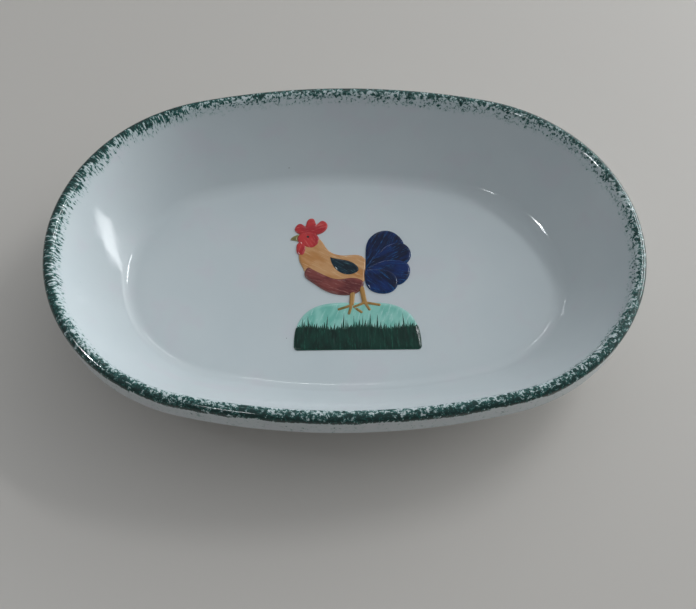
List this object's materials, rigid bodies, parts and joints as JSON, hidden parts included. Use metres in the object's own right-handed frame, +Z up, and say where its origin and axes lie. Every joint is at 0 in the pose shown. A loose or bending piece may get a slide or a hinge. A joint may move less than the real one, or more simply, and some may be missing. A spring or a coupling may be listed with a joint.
{
  "type": "serving dish",
  "caption": "Oval glazed stoneware serving dish with flared walls, a rolled rim sponged in green and a raised slip cockerel on its floor.",
  "frame": {"origin": "on the table, under the middle of the dish", "axes": "+X along the dish's length, towards the cockerel's tail; +Z up; the cockerel is upright seen from the -Y side"},
  "size_m": [0.33, 0.218, 0.055],
  "materials": {
    "stoneware": "matte fired clay",
    "white_glaze": "glossy",
    "green_sponge_glaze": "glossy, sponged over white",
    "pale_green_slip": "glossy, brushed",
    "dark_green_slip": "glossy, brushed",
    "ochre_slip": "glossy, brushed",
    "red_slip": "glossy",
    "straw_slip": "glossy",
    "dark_slip": "glossy",
    "red_brown_slip": "glossy, brushed",
    "blue_green_slip": "glossy, brushed",
    "blue_slip": "glossy, brushed"
  },
  "bodies": {
    "root": {"stoneware_body": "stoneware", "interior_glaze": "white_glaze", "exterior_glaze": "white_glaze", "base_glaze": "white_glaze", "rim_band_glaze": "green_sponge_glaze", "mound_slip": "pale_green_slip", "grass_slip": "dark_green_slip", "bird_body_slip": "ochre_slip", "near_leg_slip": "ochre_slip", "far_leg_slip": "ochre_slip", "comb_slip": "red_slip", "face_slip": "red_slip", "wattle_slip": "red_slip", "beak_slip": "straw_slip", "eye_slip": "dark_slip", "wing_slip": "red_brown_slip", "wing_patch_slip": "blue_green_slip", "tail_slip_1": "blue_slip", "tail_slip_2": "blue_slip", "tail_slip_3": "blue_slip", "tail_slip_4": "blue_slip"}
  },
  "joints": []
}
